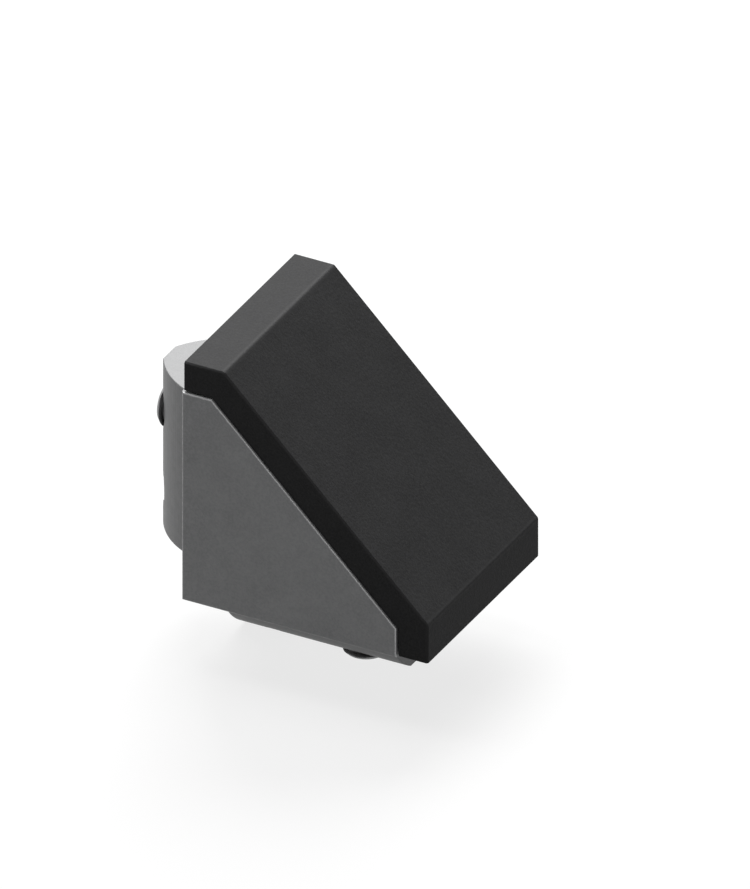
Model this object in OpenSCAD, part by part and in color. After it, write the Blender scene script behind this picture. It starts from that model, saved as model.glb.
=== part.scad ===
// Corner bracket for slotted framing: a cast body, a pull-off cover and two screws with slot nuts.
// The origin is the outer corner of the body, on its middle plane.
// The body seats on the planes X = 0 (upright leg) and Z = 0 (base leg). Sizes are in millimetres.

/* [Bracket body] */
// Length of each leg, from the outer corner to its end
leg_l = 28; // [27:0.5:40]
// Width of the body across its two side walls
body_w = 28; // [26:0.5:60]
// Thickness of each leg
leg_t = 3.2; // [2.6:0.1:4]
// Thickness of each side wall
wall_t = 2.4; // [1.8:0.1:3.2]
// Height of the lip at a leg's end, above the leg
lip_h = 0.8; // [0.4:0.1:2]
// Thickness of the lip at a leg's end
lip_t = 1.8; // [1:0.1:2.5]
// Radius of the outer edges beside the seating faces
edge_r = 0.5; // [0.2:0.1:1.2]
// Radius of the inner corner between the legs
corner_r = 2; // [0.6:0.2:3]
// Radius where the side walls meet the legs
wall_r = 0.8; // [0.4:0.1:1.5]
// Diameter of the screw hole in each leg
hole_d = 6.6; // [6.2:0.1:7.4]
// Width of the shallow relief along each seating face, which clears the slot's edges
relief_w = 9; // [8.4:0.1:12]
// Depth of that relief
relief_h = 0.4; // [0.2:0.1:0.8]

/* [Screws] */
// Diameter of a screw over its thread
thread_d = 5.9; // [5.5:0.05:6.1]
// Length of a screw under its head
screw_l = 14; // [12:0.5:16]
// Bevel at a screw's tip
tip_break = 0.5; // [0.2:0.1:1]
// Diameter of a screw's head
head_d = 10; // [9:0.1:10.6]
// Height of a screw's head
head_h = 6; // [5:0.1:6.4]
// Radius of the head's upper edge
head_r = 0.6; // [0.2:0.1:1]
// Width across the flats of the key socket
socket_w = 5; // [4:0.1:6]
// Depth of the key socket
socket_h = 3; // [2:0.1:3.5]
// Free space between the heads of the two screws, along a leg
head_gap = 0.95; // [0.4:0.05:2]

/* [Washers] */
// Outer diameter of a washer
washer_d = 12; // [11:0.1:14]
// Hole diameter of a washer
washer_hole_d = 6.4; // [6.2:0.1:7]
// Thickness of a washer
washer_t = 1.6; // [1:0.1:2]
// Bevel of a washer's upper outer edge
washer_break = 0.3; // [0.1:0.05:0.5]

/* [Slot nuts] */
// Thickness of the slot's lips, which a nut's shoulders pull against the body
slot_lip = 2; // [1.6:0.1:3]
// Free space between a nut's neck and the body
neck_gap = 1; // [0.4:0.1:1.4]
// Width of a nut's neck, which runs in the slot
neck_w = 7.6; // [6.8:0.1:8]
// Width of a nut across its shoulders
nut_w = 14; // [12:0.1:16]
// Width of the flat along a nut's bottom
nut_flat = 3; // [1:0.1:5]
// Depth of that flat below the body
nut_depth = 8.9; // [7:0.1:11]
// Radius of a nut's curved flanks
flank_r = 11.5; // [9:0.1:20]
// Length of a nut
nut_l = 22; // [20:0.5:26]
// Distance from a nut's outer end to the axis of its screw
nut_end = 6.65; // [5:0.05:9]
// Distance between a nut's two tapped holes
nut_pitch = 10.45; // [9:0.05:12]
// Core diameter of a nut's free tapped hole
free_hole_d = 5; // [4:0.1:5.4]

/* [Cover cap] */
// Wall thickness of the cover
cap_wall = 1.6; // [1.2:0.1:2]
// How far the cover's end faces stand out past the legs
cap_end = 4; // [3:0.1:6]
// Height of the cover's flat end faces
cap_strip = 5.15; // [4.6:0.05:7]
// How far the cover's sides lie inside the body's sides
cap_inset = 0.27; // [0.05:0.01:0.8]
// Bevel along the cover's side edges and across both ends of its slope
cap_break = 0.2; // [0.1:0.05:0.5]
// Thickness of the ribs inside the cover
rib_t = 1; // [0.6:0.1:1.6]
// Distance of the two cross ribs from the middle of the slope
rib_pos = 13; // [12.2:0.1:14]
// Distance of the end ribs from the middle plane
end_rib_pos = 5; // [3:0.5:8]
// Length of each tongue along the slope
tongue_l = 12; // [8:0.5:16]
// How far the tongues reach in between the side walls
tongue_h = 4.5; // [3:0.1:5.5]
// Thickness of each tongue
tongue_t = 1.2; // [0.8:0.1:1.6]
// Radius of a tongue's lower corners
tongue_r = 1.5; // [0.5:0.1:2.5]
// Bevel that leads a tongue in between the walls
tongue_break = 0.5; // [0.2:0.1:0.7]
// Distance of the grip ribs from the middle of a tongue
grip_pos = 3.5; // [1.5:0.1:3.8]
// How far the grip ribs stand out of a tongue
grip_h = 0.1; // [0.04:0.01:0.13]

/* [Clearances] */
// Radial gap between a screw's thread and its nut
thread_gap = 0.05; // [0.02:0.01:0.1]
// Gap between a nut's shoulders and the slot's lips
lip_gap = 0.02; // [0.01:0.01:0.2]
// Gap between the cover and the planes that the body seats on
foot_gap = 0.3; // [0.1:0.05:0.8]
// Gap between the cover's end edges and the legs' ends
end_gap = 0.18; // [0.05:0.01:0.4]
// Gap between the cover's rim and the body's sloping edges
seat_gap = 0.02; // [0.01:0.01:0.1]
// Gap between a tongue and the side wall beside it
tongue_gap = 0.15; // [0.14:0.01:0.3]

/* [Hidden] */
$fn = 72;

cut = 1;
inner_w = body_w - 2 * wall_t;
nose_h = leg_t + lip_h;
slope = leg_l + nose_h;
seat_h = leg_t + washer_t;
hole_pos = seat_h + head_h + head_gap + head_d / 2;
lip_pos = leg_l - lip_t;

cap_w = body_w - 2 * cap_inset;
cap_out = leg_l + cap_end;
cap_in = leg_l + end_gap;
cap_slope = cap_out + foot_gap + cap_strip;
rim_slope = slope + seat_gap * sqrt(2);
shell_h = (cap_slope - slope) / sqrt(2);
room_h = shell_h - cap_wall;
room_w = cap_w - 2 * cap_wall;
room_out = cap_out - cap_wall;
room_slope = cap_slope - cap_wall * sqrt(2);
tongue_y = inner_w / 2 - tongue_gap;
grip_r = 0.4;

nut_start = hole_pos + nut_end - nut_l;
free_pos = hole_pos - nut_pitch;
shoulder = slot_lip + lip_gap;
bottom_edge = [nut_depth, nut_flat / 2];
shoulder_edge = [shoulder, nut_w / 2];
chord = bottom_edge - shoulder_edge;
chord_side = [chord.y, -chord.x] / norm(chord);
flank_mid = (bottom_edge + shoulder_edge) / 2;
flank_centre = flank_mid + sqrt(flank_r ^ 2 - norm(chord) ^ 2 / 4) * chord_side;

// The same thing on the other leg: X and Z change places
module on_base_leg() {
  mirror([1, 0, -1]) children();
}

module on_both_legs() {
  children();
  on_base_leg() children();
}

module on_both_sides() {
  children();
  mirror([0, 1, 0]) children();
}

// Centre of the body's slope, with Z out of it and X down along it
module on_slope() {
  translate([slope / 2, 0, slope / 2]) rotate([0, 45, 0]) children();
}

// A side outline, drawn as X and Z, as thick as width across the middle plane
module across(width) {
  rotate([90, 0, 0]) linear_extrude(width, center = true) children();
}

// What fills the inner corner of two walls along Z, with a round face of radius r
module corner_fill(r, length) {
  difference() {
    translate([-cut, -cut, 0]) cube([r + cut, r + cut, length]);
    translate([r, r, -cut]) cylinder(r = r, h = length + 2 * cut);
  }
}

// Cuts one long edge of the cover to a bevel, from one corner of its outline to the next
module edge_cut(from, to) {
  run = to - from;
  translate([from.x, cap_w / 2, from.y])
    rotate([0, -atan2(run.y, run.x), 0])
      translate([norm(run) / 2, 0, 0])
        rotate([45, 0, 0])
          cube([norm(run) + 2 * cut, cap_break * sqrt(2), cap_break * sqrt(2)], center = true);
}

// Body: seen along the upright leg, with its two outer edges round
module leg_section() {
  translate([edge_r, -body_w / 2]) square([leg_l - edge_r, body_w]);
  translate([0, edge_r - body_w / 2]) square([leg_l, body_w - 2 * edge_r]);
  for (side = [-1, 1])
    translate([edge_r, side * (body_w / 2 - edge_r)]) circle(edge_r);
}

module body_blank() {
  intersection() {
    across(body_w)
      polygon([[0, 0], [leg_l, 0], [leg_l, nose_h], [nose_h, leg_l], [0, leg_l]]);
    linear_extrude(leg_l) leg_section();
    on_base_leg() linear_extrude(leg_l) leg_section();
  }
}

module body_pocket() {
  across(inner_w)
    polygon([
      [leg_t, leg_t], [lip_pos, leg_t], [lip_pos, nose_h], [leg_l + cut, nose_h],
      [leg_l + cut, leg_l + cut], [nose_h, leg_l + cut], [nose_h, lip_pos], [leg_t, lip_pos]
    ]);
}

// Leaves two bearing strips on the upright leg, one for each lip of the slot
module seat_relief() {
  translate([-cut, -relief_w / 2, -cut]) cube([relief_h + cut, relief_w, leg_l + 2 * cut]);
}

module bracket_body() {
  color([0.56, 0.57, 0.58]) {
    difference() {
      body_blank();
      body_pocket();
      on_both_legs() seat_relief();
      on_both_legs()
        translate([-cut, 0, hole_pos]) rotate([0, 90, 0]) cylinder(d = hole_d, h = leg_t + 2 * cut);
    }
    // Round inner corners, between the legs and along both walls
    translate([leg_t, inner_w / 2 + cut / 2, leg_t]) rotate([90, 0, 0]) corner_fill(corner_r, inner_w + cut);
    on_both_legs() on_both_sides()
      translate([leg_t, -inner_w / 2, leg_t - cut / 2]) corner_fill(wall_r, lip_pos - leg_t + cut / 2);
  }
}

// Cover: a C from the side, open towards the body
module cap_blank() {
  across(cap_w)
    polygon([
      [foot_gap, cap_out], [cap_slope - cap_out, cap_out], [cap_out, cap_slope - cap_out],
      [cap_out, foot_gap], [cap_in, foot_gap], [cap_in, rim_slope - cap_in],
      [rim_slope - cap_in, cap_in], [foot_gap, cap_in]
    ]);
}

module cap_room() {
  across(room_w)
    polygon([
      [0, 0], [0, room_out], [room_slope - room_out, room_out],
      [room_out, room_slope - room_out], [room_out, 0]
    ]);
}

module cap_edges() {
  corners = [[foot_gap, cap_out], [cap_slope - cap_out, cap_out],
             [cap_out, cap_slope - cap_out], [cap_out, foot_gap]];
  on_both_sides()
    for (i = [0:2]) edge_cut(corners[i], corners[i + 1]);
  // The slope meets each end face at 45 degrees, so the bevel between them leans by half of that
  lean = 45 / 2;
  on_both_legs()
    translate([corners[1].x, 0, corners[1].y])
      rotate([0, lean, 0])
        translate([0, 0, cut / 2 - cap_break * sin(lean)])
          cube([2 * cut, cap_w + 2 * cut, cut], center = true);
}

// Stiffening ribs across the slope, as deep as the cover's room
module cross_ribs() {
  on_slope()
    for (side = [-1, 1])
      translate([side * rib_pos - rib_t / 2, -room_w / 2 - cap_wall / 2, seat_gap])
        cube([rib_t, room_w + cap_wall, room_h + cap_wall / 2 - seat_gap]);
}

// Ribs at each end, which find the ends of the legs
module end_ribs() {
  on_both_legs()
    for (side = [-1, 1])
      translate([0, side * end_rib_pos, 0])
        across(rib_t)
          polygon([
            [cap_in, foot_gap + cap_wall / 2], [room_out + cap_wall / 2, foot_gap + cap_wall / 2],
            [room_out + cap_wall / 2, room_slope - room_out], [cap_in, room_slope - cap_in + cap_wall / 2]
          ]);
}

// One tongue: a shoulder in the cover's room, and a plate that goes in between the walls
module tongue() {
  translate([-tongue_l / 2, tongue_y - tongue_t, seat_gap])
    cube([tongue_l, room_w / 2 - tongue_y + tongue_t + cap_wall / 2, room_h + cap_wall / 2 - seat_gap]);
  difference() {
    translate([0, tongue_y - tongue_t / 2, 0])
      across(tongue_t) {
        translate([-tongue_l / 2, tongue_r - tongue_h]) square([tongue_l, tongue_h - tongue_r + room_h / 2]);
        translate([tongue_r - tongue_l / 2, -tongue_h]) square([tongue_l - 2 * tongue_r, tongue_h]);
        for (side = [-1, 1])
          translate([side * (tongue_l / 2 - tongue_r), tongue_r - tongue_h]) circle(tongue_r);
      }
    translate([0, tongue_y, -tongue_h])
      rotate([45, 0, 0])
        cube([tongue_l + 2 * cut, tongue_break * sqrt(2), tongue_break * sqrt(2)], center = true);
  }
  for (side = [-1, 1])
    translate([side * grip_pos, tongue_y + grip_h - grip_r, tongue_r - tongue_h])
      cylinder(r = grip_r, h = tongue_h - tongue_r + room_h / 2);
}

module cover_cap() {
  color([0.13, 0.13, 0.135]) {
    difference() {
      cap_blank();
      cap_room();
      cap_edges();
    }
    cross_ribs();
    end_ribs();
    on_slope() on_both_sides() tongue();
  }
}

// Socket head screw, seated at Z = 0 with its head above
module screw() {
  difference() {
    rotate_extrude() {
      polygon([
        [0, -screw_l], [thread_d / 2 - tip_break, -screw_l], [thread_d / 2, tip_break - screw_l],
        [thread_d / 2, 0], [head_d / 2, 0], [head_d / 2, head_h - head_r],
        [head_d / 2 - head_r, head_h - head_r], [head_d / 2 - head_r, head_h], [0, head_h]
      ]);
      intersection() {
        translate([head_d / 2 - head_r, head_h - head_r]) circle(head_r);
        translate([head_d / 2 - head_r, head_h - head_r]) square(head_r);
      }
    }
    translate([0, 0, head_h - socket_h])
      cylinder(d = socket_w / cos(30), h = socket_h + cut, $fn = 6);
  }
}

module washer() {
  rotate_extrude()
    polygon([
      [washer_hole_d / 2, 0], [washer_d / 2, 0], [washer_d / 2, washer_t - washer_break],
      [washer_d / 2 - washer_break, washer_t], [washer_hole_d / 2, washer_t]
    ]);
}

// Slot nut of the upright leg, with its neck in the slot and its shoulders behind the lips
module slot_nut() {
  difference() {
    translate([0, 0, nut_start])
      linear_extrude(nut_l) {
        intersection() {
          translate([-nut_depth, -nut_w / 2 - cut]) square([nut_depth - shoulder, nut_w + 2 * cut]);
          translate([-flank_centre.x, flank_centre.y]) circle(flank_r);
          translate([-flank_centre.x, -flank_centre.y]) circle(flank_r);
        }
        translate([-shoulder - cut, -neck_w / 2]) square([shoulder - neck_gap + cut, neck_w]);
      }
    translate([-nut_depth - cut, 0, hole_pos])
      rotate([0, 90, 0]) cylinder(d = thread_d + 2 * thread_gap, h = nut_depth + cut);
    translate([-nut_depth - cut, 0, free_pos])
      rotate([0, 90, 0]) cylinder(d = free_hole_d, h = nut_depth + cut);
  }
}

module upright_screw() {
  color([0.66, 0.67, 0.68]) translate([seat_h, 0, hole_pos]) rotate([0, 90, 0]) screw();
}

module upright_washer() {
  color([0.72, 0.73, 0.74]) translate([leg_t, 0, hole_pos]) rotate([0, 90, 0]) washer();
}

module upright_nut() {
  color([0.7, 0.71, 0.72]) slot_nut();
}

module base_screw() {
  on_base_leg() upright_screw();
}

module base_washer() {
  on_base_leg() upright_washer();
}

module base_nut() {
  on_base_leg() upright_nut();
}

bracket_body();
cover_cap();
upright_screw();
upright_washer();
upright_nut();
base_screw();
base_washer();
base_nut();
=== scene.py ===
import math

import bmesh
import bpy
from mathutils import Matrix, Vector


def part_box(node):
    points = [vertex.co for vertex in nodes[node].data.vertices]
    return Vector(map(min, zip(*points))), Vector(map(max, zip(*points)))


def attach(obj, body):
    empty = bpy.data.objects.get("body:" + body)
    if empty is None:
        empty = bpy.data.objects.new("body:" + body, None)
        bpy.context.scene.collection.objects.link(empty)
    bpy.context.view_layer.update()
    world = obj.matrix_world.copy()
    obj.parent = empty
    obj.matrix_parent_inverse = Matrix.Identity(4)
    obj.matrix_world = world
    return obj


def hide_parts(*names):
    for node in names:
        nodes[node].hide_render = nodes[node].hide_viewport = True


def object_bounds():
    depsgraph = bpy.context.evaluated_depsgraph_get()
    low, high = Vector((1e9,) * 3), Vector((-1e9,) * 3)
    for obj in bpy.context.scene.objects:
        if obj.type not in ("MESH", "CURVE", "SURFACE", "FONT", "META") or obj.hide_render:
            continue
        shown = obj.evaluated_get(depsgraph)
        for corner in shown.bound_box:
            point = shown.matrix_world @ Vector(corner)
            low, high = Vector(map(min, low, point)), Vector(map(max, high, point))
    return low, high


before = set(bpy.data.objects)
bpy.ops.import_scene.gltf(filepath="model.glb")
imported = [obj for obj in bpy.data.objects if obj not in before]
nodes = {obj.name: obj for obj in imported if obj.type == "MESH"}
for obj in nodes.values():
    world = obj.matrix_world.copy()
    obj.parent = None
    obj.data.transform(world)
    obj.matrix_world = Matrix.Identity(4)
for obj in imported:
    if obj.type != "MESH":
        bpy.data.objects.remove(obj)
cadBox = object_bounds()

mm = 0.001


class Wire:  # a shader socket that Python's operators can work on
    def __init__(self, socket):
        self.socket = socket
        self.tree = socket.id_data

    def node(self, kind, settings=None, inputs=None, out=0):  # any node: settings first, then its sockets
        made = self.tree.nodes.new("ShaderNode" + kind)
        for name, value in (settings or {}).items():
            if name == "stops":
                fillRamp(made.color_ramp, value)
            else:
                setattr(made, name, value)
        for key, value in (inputs or {}).items():
            if isinstance(value, Wire):
                self.tree.links.new(value.socket, made.inputs[key])
            else:
                made.inputs[key].default_value = value
        return Wire(made.outputs[out])

    def maths(self, operation, first, second=0.0, clamp=False):
        return self.node("Math", {"operation": operation, "use_clamp": clamp}, {0: first, 1: second})

    def __add__(self, other):
        return self.maths("ADD", self, other)

    def __sub__(self, other):
        return self.maths("SUBTRACT", self, other)

    def __rsub__(self, other):
        return self.maths("SUBTRACT", other, self)

    def __mul__(self, other):
        return self.maths("MULTIPLY", self, other)

    def __truediv__(self, other):
        return self.maths("DIVIDE", self, other)

    def __abs__(self):
        return self.maths("ABSOLUTE", self)

    __radd__ = __add__
    __rmul__ = __mul__


def fillRamp(colorRamp, stops):  # two stops, each a place and a grey
    for element, (place, grey) in zip(colorRamp.elements, stops):
        element.position = place
        element.color = (grey, grey, grey, 1)


def ramp(wire, stops):
    return wire.node("ValToRGB", {"stops": stops}, {"Fac": wire})


def least(*wires):
    result = wires[0]
    for wire in wires[1:]:
        result = result.maths("MINIMUM", result, wire)
    return result


def most(first, second):
    return first.maths("MAXIMUM", first, second)


def fromOrigin(first, second):
    total = first * first + second * second
    return total.maths("SQRT", total)


def blend(first, second, share):  # share is the first one's part
    return first * share + second * (1 - share)


def newMaterial(name, **constants):  # a Principled material and a wire of its place in millimetres
    material = bpy.data.materials.new(name)
    material.use_nodes = True
    tree = material.node_tree
    shader = next(n for n in tree.nodes if n.type == "BSDF_PRINCIPLED")
    for socket, value in constants.items():
        shader.inputs[socket.replace("_", " ")].default_value = value
    place = Wire(tree.nodes.new("ShaderNodeTexCoord").outputs["Object"])
    place = place.node("VectorMath", {"operation": "SCALE"}, {0: place, "Scale": 1 / mm})
    return material, shader, place


def feed(shader, **wires):
    for socket, wire in wires.items():
        wire.tree.links.new(wire.socket, shader.inputs[socket.replace("_", " ")])


def axes(place):
    split = place.tree.nodes.new("ShaderNodeSeparateXYZ")
    place.tree.links.new(place.socket, split.inputs[0])
    return [Wire(socket) for socket in split.outputs]


def noise(place, scale, detail, rough, warp=0.0):
    return place.node("TexNoise", {}, {"Vector": place, "Scale": scale, "Detail": detail,
                                       "Roughness": rough, "Distortion": warp})


def stretched(place, scale):
    return place.node("Mapping", {}, {"Vector": place, "Scale": scale})


def mixed(fac, low, high):  # two colours, each a wire or a tuple
    low, high = (colour if isinstance(colour, Wire) else (*colour, 1) for colour in (low, high))
    return fac.node("Mix", {"data_type": "RGBA"}, {0: fac, 6: low, 7: high}, out=2)


def bumped(height, distance, below=None):
    inputs = {"Height": height, "Distance": distance * mm, "Strength": 1.0}
    if below is not None:
        inputs["Normal"] = below
    return height.node("Bump", {}, inputs)


# In the materials' settings a noise is its scale for each mm, detail, roughness and distortion,
# and stops are a ramp's places and greys. All lengths are in millimetres.

# Cast body: blasted skin, faint flow marks, and edges lighter from wear and a painted highlight
cast = {
    "metallic": 0.28,
    # edge is the edges' colour: wear, made much lighter as a painted highlight
    "dark": (0.180, 0.182, 0.185), "light": (0.262, 0.264, 0.267), "edge": (0.72, 0.72, 0.725),
    "leg": 28.0, "slope": 32.0, "half": 14.0, "edgeWidth": 0.22,
    "mottle": (0.35, 5, 0.6), "grain": (3.6, 3, 0.6), "fine": (11.16, 2, 0.5), "peel": (0.9, 2, 0.5),
    "flow": (1.0, 3, 0.55, 1.2), "flowScale": (0.25, 0.9, 0.25),
    "mottleShare": 0.6, "toneStops": ((0.36, 0.0), (0.66, 1.0)),
    "toneShare": 0.5, "speckleStops": ((0.38, 0.0), (0.62, 1.0)),
    "wornLitRagged": 1.4, "wornLitStops": ((0.35, 1.0), (1.0, 0.0)), "wornLitMost": 0.75,
    "rough": 0.43, "roughGrain": 0.16, "roughMottle": 0.08, "roughWorn": 0.12,
    "grainShare": 0.7, "grainHeight": 0.035, "peelHeight": 0.05,
}


def castMetal():
    c = cast
    material, shader, place = newMaterial("castMetal", Metallic=c["metallic"])
    x, y, z = axes(place)
    side = c["half"] - abs(y)
    faces = least(x, z, c["leg"] - x, c["leg"] - z, (c["slope"] - x - z) / math.sqrt(2))
    corner = most(side, faces) / c["edgeWidth"]
    mottle, grain, fine, peel = (noise(place, *c[name]) for name in ("mottle", "grain", "fine", "peel"))
    flow = noise(stretched(place, c["flowScale"]), *c["flow"])
    tone = ramp(blend(mottle, flow, c["mottleShare"]), c["toneStops"])
    speckle = ramp(grain, c["speckleStops"])
    skin = mixed(blend(tone, speckle, c["toneShare"]), c["dark"], c["light"])
    # Edges and ledges painted light: a little wear, mostly a painted highlight on ledges that the cover
    # shades
    wornAndLit = ramp(corner + (grain - 0.5) * c["wornLitRagged"], c["wornLitStops"]) * c["wornLitMost"]
    rough = c["rough"] + grain * c["roughGrain"] + mottle * c["roughMottle"] - wornAndLit * c["roughWorn"]
    pits = blend(grain, fine, c["grainShare"])
    normal = bumped(pits, c["grainHeight"], bumped(peel, c["peelHeight"]))
    feed(shader, Base_Color=mixed(wornAndLit, skin, c["edge"]), Roughness=rough, Normal=normal)
    return material


# Cover: spark-eroded mould texture, matt, its corners barely lighter from faint rubbing and a painted sheen
plastic = {
    "specular": 0.04,
    # edge is the corners' colour: faint rubbing and a painted sheen
    "dark": (0.0365, 0.0365, 0.037), "light": (0.062, 0.062, 0.063), "edge": (0.075, 0.075, 0.076),
    "out": 32.0, "slope": 37.45, "half": 13.73, "edgeWidth": 0.35,
    "cells": 2.6, "grain": (4.42, 4, 0.65), "cloud": (0.22, 4, 0.55),
    "cloudShare": 0.25, "toneStops": ((0.34, 0.0), (0.66, 1.0)),
    "rubbedSheenRagged": 1.2, "rubbedSheenStops": ((0.3, 1.0), (1.0, 0.0)), "rubbedSheenMost": 0.5,
    "rough": 0.42, "roughGrain": 0.24, "roughCloud": 0.08, "roughRubbed": 0.1,
    "cellShare": 0.45, "height": 0.045,
}


def blackPlastic():
    p = plastic
    material, shader, place = newMaterial("blackPlastic", Specular_IOR_Level=p["specular"])
    x, y, z = axes(place)
    side = p["half"] - abs(y)
    ends = least(p["out"] - x, p["out"] - z)
    slope = (p["slope"] - x - z) / math.sqrt(2)
    corner = least(most(side, least(ends, slope)), most(ends, slope)) / p["edgeWidth"]
    cells = place.node("TexVoronoi", {"feature": "SMOOTH_F1"}, {"Vector": place, "Scale": p["cells"]})
    grain, cloud = noise(place, *p["grain"]), noise(place, *p["cloud"])
    skin = mixed(ramp(blend(cloud, grain, p["cloudShare"]), p["toneStops"]), p["dark"], p["light"])
    # Corners painted lighter: a little rubbing and a painted sheen in place of the rounded edges' highlight
    rubbedAndSheen = ramp(corner + (grain - 0.5) * p["rubbedSheenRagged"], p["rubbedSheenStops"]) * p["rubbedSheenMost"]
    rough = p["rough"] + grain * p["roughGrain"] + cloud * p["roughCloud"] - rubbedAndSheen * p["roughRubbed"]
    normal = bumped(blend(cells, grain, p["cellShare"]), p["height"])
    feed(shader, Base_Color=mixed(rubbedAndSheen, skin, p["edge"]), Roughness=rough, Normal=normal)
    return material


# Slot nuts: drawn bar with its lines along the slot, zinc plated, darker down in both holes from oil and
# painted shade
nutSteel = {
    "metallic": 0.25,
    # oil is the colour of oil and painted shade in and around the holes
    "dark": (0.179, 0.180, 0.182), "light": (0.262, 0.263, 0.265), "oilAndShade": (0.05, 0.049, 0.047),
    "lines": (1.0, 3, 0.6), "acrossLines": 9.0, "alongLines": 0.05,
    "spangle": (0.9, 4, 0.6), "fine": (6.0, 2, 0.5),
    "shares": (0.45, 0.4, 0.15), "toneStops": ((0.36, 0.0), (0.64, 1.0)),
    "freeHole": 6.3, "boltHole": 16.75,
    "oilShadeRadius": 3.4, "oilShadeRagged": 0.1, "oilShadeStops": ((0.72, 0.85), (0.95, 0.0)),
    "rough": 0.46, "roughSpangle": 0.14, "roughLines": 0.1, "roughOily": 0.15,
    "lineShare": 0.6, "height": 0.008,
}


def nutMetal(name, along):  # along is the slot's axis: 0 for X, 2 for Z
    n = nutSteel
    material, shader, place = newMaterial(name, Metallic=n["metallic"])
    parts = axes(place)
    lineScale = [n["acrossLines"]] * 3
    lineScale[along] = n["alongLines"]
    lines = noise(stretched(place, lineScale), *n["lines"])
    spangle, fine = noise(place, *n["spangle"]), noise(place, *n["fine"])
    tone = sum(wire * share for wire, share in zip((lines, spangle, fine), n["shares"]))
    skin = mixed(ramp(tone, n["toneStops"]), n["dark"], n["light"])
    fromHole = least(*(fromOrigin(parts[along] - n[hole], parts[1]) for hole in ("freeHole", "boltHole")))
    # Holes' walls and rims painted dark: oil, and painted shade in the hollows and where the screw enters
    oilShadeMask = ramp(fromHole / n["oilShadeRadius"] + (spangle - 0.5) * n["oilShadeRagged"], n["oilShadeStops"])
    rough = n["rough"] + spangle * n["roughSpangle"] + lines * n["roughLines"] - oilShadeMask * n["roughOily"]
    normal = bumped(blend(lines, fine, n["lineShare"]), n["height"])
    feed(shader, Base_Color=mixed(oilShadeMask, skin, n["oilAndShade"]), Roughness=rough, Normal=normal)
    return material


# Washers: punched from strip, bright zinc with a soft haze
washerSteel = {
    "metallic": 0.8, "dark": (0.27, 0.271, 0.276), "light": (0.38, 0.381, 0.386),
    "haze": (0.7, 4, 0.6), "scratch": (1.0, 3, 0.6), "scratchScale": (5.0, 0.4, 5.0),
    "hazeShare": 0.6, "toneStops": ((0.36, 0.0), (0.64, 1.0)),
    "rough": 0.26, "roughHaze": 0.16, "height": 0.004,
}


def washerMetal():
    w = washerSteel
    material, shader, place = newMaterial("washerMetal", Metallic=w["metallic"])
    haze = noise(place, *w["haze"])
    scratch = noise(stretched(place, w["scratchScale"]), *w["scratch"])
    colour = mixed(ramp(blend(haze, scratch, w["hazeShare"]), w["toneStops"]), w["dark"], w["light"])
    rough = w["rough"] + haze * w["roughHaze"]
    feed(shader, Base_Color=colour, Roughness=rough, Normal=bumped(scratch, w["height"]))
    return material


# Screws: bright zinc, darkened by oil and painted shade over the thread, most in its roots, and in the knurl
# and the key socket
boltSteel = {
    # oil is the colour of oil and painted shade in the thread, the knurl and the socket
    "dark": (0.235, 0.236, 0.239), "light": (0.345, 0.346, 0.349), "oilAndShade": (0.012, 0.012, 0.012),
    "patch": (0.8, 4, 0.6), "grain": (7.0, 2, 0.6),
    "patchShare": 0.6, "toneStops": ((0.38, 0.0), (0.66, 1.0)), "axis": 16.75, "shoulder": 4.6,
    "bevelEnd": -8.72, "bevelFade": 0.2, "fadeStops": ((0.0, 0.0), (1.0, 1.0)),
    "crest": 2.93, "oilShadeDepth": 0.3, "oilShadeRagged": 0.5, "deepStops": ((0.0, 0.55), (0.6, 1.0)),
    "socketRadius": 3.2, "socketRagged": 0.2, "socketStops": ((0.8, 0.75), (1.0, 0.0)),
    "headRadius": 5.0, "knurlDepth": 0.22, "knurlFrom": 4.73, "knurlStops": ((0.2, 0.0), (0.9, 0.8)),
    "metallic": 0.7, "metallicOilShade": 0.5,
    "rough": 0.44, "roughPatch": 0.14, "roughGrain": 0.08, "roughOily": 0.08, "height": 0.004,
}


def platedSteel():
    s = boltSteel
    material, shader, place = newMaterial("platedSteel")
    x, y, z = axes(place)
    along = least(x, z)
    radius = fromOrigin(most(x, z) - s["axis"], y)
    patch, grain = noise(place, *s["patch"]), noise(place, *s["grain"])
    skin = mixed(ramp(blend(patch, grain, s["patchShare"]), s["toneStops"]), s["dark"], s["light"])
    onThread = ramp((along - s["bevelEnd"]) / s["bevelFade"], s["fadeStops"]) \
        * along.maths("LESS_THAN", along, s["shoulder"])
    deep = ramp((s["crest"] - radius) / s["oilShadeDepth"] + (grain - 0.5) * s["oilShadeRagged"], s["deepStops"])
    inSocket = ramp(radius / s["socketRadius"] + (patch - 0.5) * s["socketRagged"], s["socketStops"])
    inKnurl = ramp((s["headRadius"] - radius) / s["knurlDepth"], s["knurlStops"]) \
        * radius.maths("GREATER_THAN", radius, s["knurlFrom"])
    onHead = along.maths("GREATER_THAN", along, s["shoulder"])
    # Oil and painted shade: the whole thread dark, its roots darkest, and the knurl and the socket dark
    oilShadeMask = most(onThread * deep, onHead * most(inSocket, inKnurl))
    rough = s["rough"] + patch * s["roughPatch"] + grain * s["roughGrain"] + oilShadeMask * s["roughOily"]
    feed(shader, Base_Color=mixed(oilShadeMask, skin, s["oilAndShade"]), Metallic=s["metallic"] - oilShadeMask * s["metallicOilShade"],
         Roughness=rough, Normal=bumped(grain, s["height"]))
    return material


# All pieces: edges rounded a little as casting, moulding and plating leave them, in millimetres and degrees
soft = {
    "weld": 1e-4, "sliver": 0.004, "bend": 40.0, "flat": 0.3, "sharp": 40.0, "segments": 3, "crisp": 34.0,
    "body": 0.12, "cover": 0.07, "nut": 0.12, "washer": 0.08,
}


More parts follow.
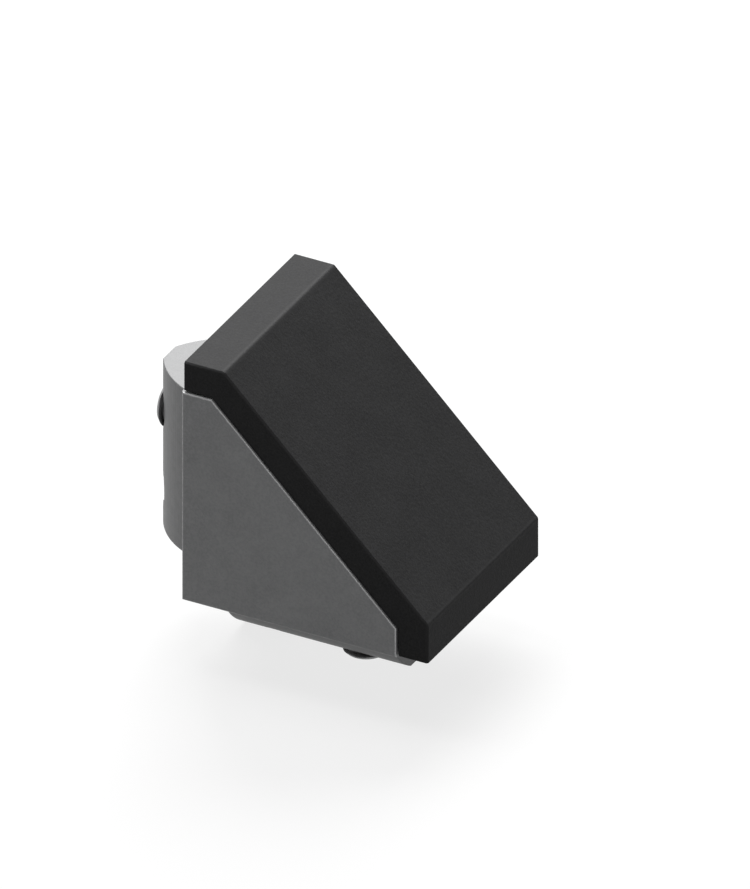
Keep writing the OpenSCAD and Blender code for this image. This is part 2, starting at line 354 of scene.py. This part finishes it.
def inOrder(bm):  # a fixed order of vertices, edges and faces, so that every run gives the same mesh
    kinds = ((bm.verts, lambda v: [v]), (bm.edges, lambda e: e.verts), (bm.faces, lambda f: f.verts))
    for parts, corners in kinds:
        ranked = sorted(parts, key=lambda part: sorted(tuple(v.co) for v in corners(part)))
        rank = {part: place for place, part in enumerate(ranked)}
        parts.sort(key=rank.get)


# A finished mesh in millimetres takes its node's place. Slivers are joined, and a vertex with only two edges
# goes unless it is a real corner.
def addPiece(name, bm, node, material, crisp):
    inOrder(bm)
    bmesh.ops.remove_doubles(bm, verts=bm.verts, dist=soft["sliver"])
    bmesh.ops.dissolve_degenerate(bm, dist=soft["sliver"], edges=bm.edges)
    bend = math.radians(soft["bend"])
    needless = [v for v in bm.verts if len(v.link_edges) == 2 and v.calc_edge_angle(0) < bend]
    bmesh.ops.dissolve_verts(bm, verts=needless)
    inOrder(bm)
    bmesh.ops.scale(bm, vec=(mm, mm, mm), verts=bm.verts)
    mesh = bpy.data.meshes.new(name)
    bm.to_mesh(mesh)
    bm.free()
    mesh.shade_smooth()
    mesh.set_sharp_from_angle(angle=math.radians(crisp))
    mesh.materials.append(material)
    piece = bpy.data.objects.new(name, mesh)
    bpy.context.scene.collection.objects.link(piece)
    piece.modifiers.new("flatFaces", "WEIGHTED_NORMAL").keep_sharp = True
    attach(piece, "cover" if node == "cover_cap" else "bracket")
    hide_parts(node)


def nodeCopy(node):  # the node's solid in millimetres, its loose triangles joined into whole faces
    bm = bmesh.new()
    bm.from_mesh(nodes[node].data)
    bmesh.ops.scale(bm, vec=(1 / mm, 1 / mm, 1 / mm), verts=bm.verts)
    bmesh.ops.remove_doubles(bm, verts=bm.verts, dist=soft["weld"])
    bmesh.ops.dissolve_limit(bm, angle_limit=math.radians(soft["flat"]), verts=bm.verts, edges=bm.edges)
    return bm


def roundEdges(bm, width, wanted=lambda edge: True):
    sharp = [edge for edge in bm.edges
             if edge.is_convex and edge.calc_face_angle(0) > math.radians(soft["sharp"]) and wanted(edge)]
    bmesh.ops.bevel(bm, geom=sharp, offset=width, offset_type="OFFSET", segments=soft["segments"],
                    profile=0.5, affect="EDGES", clamp_overlap=True, material=-1)


def buildSoft(name, node, width, material):
    bm = nodeCopy(node)
    roundEdges(bm, width)
    addPiece(name, bm, node, material, soft["crisp"])


def spinOutline(points, steps):  # points are radius and height, turned round Z
    bm = bmesh.new()
    outline = [bm.verts.new((r, 0, z)) for r, z in points]
    edges = [bm.edges.new(pair) for pair in zip(outline, outline[1:])]
    bmesh.ops.spin(bm, geom=outline + edges, cent=(0, 0, 0), axis=(0, 0, 1), dvec=(0, 0, 0),
                   angle=2 * math.pi, steps=steps, use_merge=True, use_duplicate=False)
    bmesh.ops.remove_doubles(bm, verts=bm.verts, dist=soft["weld"])
    return bm


def threadForm(phase, steep, flat):  # 0 to 1 and back over one turn, with a flat at both ends
    return min(1.0, max(0.0, (0.5 - abs(phase - 0.5)) * steep - flat))


# Screws: knurled head, key socket with a drilled bottom, rolled thread, bevelled tip
screw = {
    "steps": 96, "near": 1e-4, "crisp": 20.0, "shank": 14.0, "tipBevel": 0.5,
    "threadRadius": 2.95, "threadDepth": 0.55, "pitch": 1.0, "ringsPerTurn": 12, "steep": 2.9, "flat": 0.2,
    "runOut": 1.2, "plain": 0.3, "fillet": 0.2, "filletMiddle": 0.06, "filletRadius": 3.15,
    "headRadius": 5.0, "headHeight": 6.0, "headBevel": 0.2, "headRound": 0.6, "roundSteps": 6,
    "knurlDepth": 0.22, "knurlLow": 0.45, "knurlHigh": 5.1,
    "socketFlat": 2.5, "socketDepth": 3.0, "mouth": 3.0, "mouthDepth": 0.28,
    "floorRing": 0.82, "floorDrop": 0.05, "drillPoint": 0.9,
}


def screwOutline():  # radius and height, from the tip's middle round to the socket's bottom
    s = screw
    tip, top = -s["shank"], s["headHeight"]
    points = [(0, tip), (s["threadRadius"] - s["tipBevel"], tip)]
    rings = int(s["shank"] * s["ringsPerTurn"] / s["pitch"])
    points += [(s["threadRadius"], tip + s["shank"] * (i + 1) / rings) for i in range(rings - 2)]
    points += [(s["threadRadius"], -s["fillet"]), (s["threadRadius"] + s["filletMiddle"], -s["filletMiddle"])]
    points += [(s["filletRadius"], 0), (s["headRadius"] - s["headBevel"], 0)]
    headHeights = (s["headBevel"], s["knurlLow"], s["knurlHigh"], top - s["headRound"])
    points += [(s["headRadius"], z) for z in headHeights]
    for i in range(1, s["roundSteps"] + 1):
        angle = i * math.pi / (2 * s["roundSteps"])
        points.append((s["headRadius"] - s["headRound"] * (1 - math.cos(angle)),
                       top - s["headRound"] * (1 - math.sin(angle))))
    floor = top - s["socketDepth"]
    points += [(s["mouth"], top), (s["socketFlat"], top - s["mouthDepth"]), (s["socketFlat"], floor)]
    points += [(s["socketFlat"] * s["floorRing"], floor - s["floorDrop"]), (0, floor - s["drillPoint"])]
    return points


def threadRadius(z, turn):  # rolled thread, dying out under the head and bevelled at the tip
    s = screw
    height = threadForm((z / s["pitch"] - turn) % 1.0, s["steep"], s["flat"])
    fade = min(1.0, max(0.0, (-z - s["plain"]) / s["runOut"]))
    crest = s["threadRadius"] - s["threadDepth"] * (1 - height) * fade
    return min(crest, s["threadRadius"] - s["tipBevel"] + (z + s["shank"]))


def shapeScrew(bm):  # the hexagon, the knurl and the thread are pushed into the turned blank
    s = screw
    near, sixth = s["near"], math.pi / 3
    drillTip = s["headHeight"] - s["socketDepth"] - s["drillPoint"]
    for v in bm.verts:
        radius, angle = math.hypot(v.co.x, v.co.y), math.atan2(v.co.y, v.co.x)
        if radius < near:
            continue
        wanted = radius
        if v.co.z > drillTip and radius < s["socketFlat"] + near:
            wanted = radius / math.cos((angle + sixth / 2) % sixth - sixth / 2)
        elif abs(radius - s["headRadius"]) < near and s["knurlLow"] - near <= v.co.z <= s["knurlHigh"] + near:
            wanted = radius - s["knurlDepth"] * (round(angle / (2 * math.pi) * s["steps"]) % 2)
        elif near - s["shank"] < v.co.z < -s["fillet"] - near:
            wanted = threadRadius(v.co.z, angle / (2 * math.pi))
        v.co.x *= wanted / radius
        v.co.y *= wanted / radius


def buildScrew(name, node, turned, material):  # turned brings the screw's +Z onto its real axis
    bm = spinOutline(screwOutline(), screw["steps"])
    shapeScrew(bm)
    bmesh.ops.recalc_face_normals(bm, faces=bm.faces)
    low, high = (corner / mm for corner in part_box(node))
    axis = turned @ Vector((0, 0, 1))
    seat = (low + high) / 2 + axis * ((high - low).dot(axis) / 2 - screw["headHeight"])
    bmesh.ops.transform(bm, matrix=Matrix.Translation(seat) @ turned.to_4x4(), verts=bm.verts)
    addPiece(name, bm, node, material, screw["crisp"])


# Nuts: a real thread in the free hole, and a lead-in on both holes where the bar is flat
tapped = {
    "steps": 72, "bottom": 8.9, "top": 1.0, "past": 0.6, "keepOff": 3.3,
    "core": 2.53, "root": 3.0, "pitch": 1.0, "ringsPerTurn": 12, "steep": 2.6, "flat": 0.3, "leadIn": 0.45,
    "boltBore": 3.0, "boltLead": 0.3, "boltOverlap": 0.1,
}


def threadCutter():  # what is cut out of the free hole, with Z along its depth below the seat
    t = tapped
    low, high = t["top"] - t["past"], t["bottom"] + t["past"]
    rings = int((high - low) * t["ringsPerTurn"] / t["pitch"])
    heights = [low + (high - low) * i / rings for i in range(rings + 1)]
    bm = spinOutline([(0, low)] + [(t["core"], z) for z in heights] + [(0, high)], t["steps"])
    for v in bm.verts:
        if v.co.xy.length < t["core"] / 2:
            continue
        phase = (v.co.z / t["pitch"] - math.atan2(v.co.y, v.co.x) / (2 * math.pi)) % 1.0
        threaded = t["core"] + (t["root"] - t["core"]) * threadForm(phase, t["steep"], t["flat"])
        fromFace = min(v.co.z - t["top"], t["bottom"] - v.co.z)
        v.co.xy *= max(threaded, t["core"] + t["leadIn"] - fromFace) / v.co.xy.length
    return bm


def leadInCutter():  # the cone at the mouth of the screw's own hole
    t = tapped
    inner, outer = t["bottom"] - t["boltLead"] - t["boltOverlap"], t["bottom"] + t["past"]
    return spinOutline([(0, inner), (t["boltBore"] - t["boltOverlap"], inner),
                        (t["boltBore"] + t["boltLead"] + t["past"], outer), (0, outer)], t["steps"])


def workshopPiece(name, bm):  # a passing object for the cutting, in millimetres
    bmesh.ops.recalc_face_normals(bm, faces=bm.faces)
    mesh = bpy.data.meshes.new(name)
    bm.to_mesh(mesh)
    bm.free()
    made = bpy.data.objects.new(name, mesh)
    bpy.context.scene.collection.objects.link(made)
    return made


def buildNut(name, node, along, material):  # along is the slot's axis, and the holes run down the other
    holes = [nutSteel["freeHole"], nutSteel["boltHole"]]

    def clearOfHoles(edge):
        return all(math.hypot(v.co[along] - hole, v.co.y) > tapped["keepOff"]
                   for v in edge.verts for hole in holes)

    bm = nodeCopy(node)
    roundEdges(bm, soft["nut"], clearOfHoles)
    blank = workshopPiece("nutBlank", bm)
    down = Vector((-1, 0, 0)) if along == 2 else Vector((0, 0, -1))
    turn = Vector((0, 0, 1)).rotation_difference(down).to_matrix().to_4x4()
    cutters = []
    for cutter, hole in zip((threadCutter(), leadInCutter()), holes):
        place = Vector((0, 0, 0))
        place[along] = hole
        bmesh.ops.transform(cutter, matrix=Matrix.Translation(place) @ turn, verts=cutter.verts)
        cutters.append(workshopPiece("cutter", cutter))
        cut = blank.modifiers.new("cut", "BOOLEAN")
        cut.operation, cut.solver, cut.object = "DIFFERENCE", "EXACT", cutters[-1]
    cutMesh = bpy.data.meshes.new_from_object(blank.evaluated_get(bpy.context.evaluated_depsgraph_get()))
    for passing in [blank] + cutters:
        bpy.data.objects.remove(passing)
    bm = bmesh.new()
    bm.from_mesh(cutMesh)
    addPiece(name, bm, node, material, soft["crisp"])


print("materials")
boltFinish = platedSteel()
washerFinish = washerMetal()

print("body and cover")
buildSoft("bracketBody", "bracket_body", soft["body"], castMetal())
buildSoft("coverCap", "cover_cap", soft["cover"], blackPlastic())

print("screws, washers and nuts")
buildScrew("uprightScrew", "upright_screw", Matrix.Rotation(math.pi / 2, 3, "Y"), boltFinish)
buildScrew("baseScrew", "base_screw", Matrix.Identity(3), boltFinish)
buildSoft("uprightWasher", "upright_washer", soft["washer"], washerFinish)
buildSoft("baseWasher", "base_washer", soft["washer"], washerFinish)
buildNut("uprightNut", "upright_nut", 2, nutMetal("nutSteelUpright", 2))
buildNut("baseNut", "base_nut", 0, nutMetal("nutSteelBase", 0))

# Camera: the picture is drawn without perspective, so the view is parallel
view = {
    "azimuth": 27.81, "elevation": 31.05, "pixelsPerMm": 8.69, "cornerPixel": (237.5, 545.0),
    "width": 750, "height": 889, "distance": 0.6, "clipEnd": 3.0,
}


def addCamera():
    around, up = math.radians(view["azimuth"]), math.radians(view["elevation"])
    back = Vector((math.sin(around) * math.cos(up), -math.cos(around) * math.cos(up), math.sin(up)))
    right = Vector((math.cos(around), math.sin(around), 0))
    above = back.cross(right)
    scale = mm / view["pixelsPerMm"]
    middle = (right * (view["width"] / 2 - view["cornerPixel"][0])
              + above * (view["cornerPixel"][1] - view["height"] / 2)) * scale
    data = bpy.data.cameras.new("camera")
    data.type = "ORTHO"
    data.ortho_scale = view["height"] * scale  # the long side of the frame
    data.clip_end = view["clipEnd"]
    camera = bpy.data.objects.new("camera", data)
    bpy.context.scene.collection.objects.link(camera)
    turned = Matrix((right, above, back)).transposed().to_4x4()
    camera.matrix_world = Matrix.Translation(middle + back * view["distance"]) @ turned
    bpy.context.scene.camera = camera


# Floor, white where the camera or a mirror sees it, and the lamps: name, place, width and power
studio = {
    "floorSize": 3.0, "floorGrey": 0.22, "floorGlow": 0.78, "worldLight": 0.075,
    "lamps": [("back", (-0.19, 0.40, 0.46), 0.45, 4.7), ("left", (-0.28, 0.0, 0.52), 0.40, 1.3),
              ("above", (0.05, 0.0, 0.62), 0.35, 0.60)],
}


def seenWhite(tree):  # 1 for camera, glossy and transmission rays
    path = tree.nodes.new("ShaderNodeLightPath")
    rays = [Wire(path.outputs[n]) for n in ("Is Camera Ray", "Is Glossy Ray", "Is Transmission Ray")]
    return rays[0].maths("ADD", rays[0] + rays[1], rays[2], clamp=True)


def addFloor(level):
    bm = bmesh.new()
    bmesh.ops.create_grid(bm, x_segments=1, y_segments=1, size=studio["floorSize"] / 2)
    bmesh.ops.translate(bm, vec=(0, 0, level), verts=bm.verts)
    mesh = bpy.data.meshes.new("floor")
    bm.to_mesh(mesh)
    bm.free()
    floor = bpy.data.objects.new("floor", mesh)
    bpy.context.scene.collection.objects.link(floor)
    material = bpy.data.materials.new("floorPaper")
    material.use_nodes = True
    tree = material.node_tree
    shader = next(n for n in tree.nodes if n.type == "BSDF_PRINCIPLED")
    grey = studio["floorGrey"]
    shader.inputs["Base Color"].default_value = (grey, grey, grey, 1)
    shader.inputs["Roughness"].default_value = 1.0
    shader.inputs["Specular IOR Level"].default_value = 0.0
    shader.inputs["Emission Color"].default_value = (1, 1, 1, 1)
    glow = seenWhite(tree) * studio["floorGlow"]
    tree.links.new(glow.socket, shader.inputs["Emission Strength"])
    mesh.materials.append(material)


def addWorld():
    world = bpy.data.worlds.new("studio")
    bpy.context.scene.world = world
    world.use_nodes = True
    tree = world.node_tree
    background = next(n for n in tree.nodes if n.type == "BACKGROUND")
    light = studio["worldLight"]
    shown = seenWhite(tree)
    tree.links.new((shown * (1 - light) + light).socket, background.inputs["Strength"])
    background.inputs["Color"].default_value = (1, 1, 1, 1)


def addLamps():
    for name, place, size, power in studio["lamps"]:
        data = bpy.data.lights.new(name, "AREA")
        data.shape, data.size, data.energy = "DISK", size, power
        lamp = bpy.data.objects.new(name, data)
        bpy.context.scene.collection.objects.link(lamp)
        lamp.location = place
        lamp.rotation_euler = Vector(place).to_track_quat("Z", "Y").to_euler()


print("camera, floor and lamps")
addCamera()
addFloor(cadBox[0].z)
addWorld()
addLamps()
bpy.context.scene.view_settings.view_transform = "Standard"
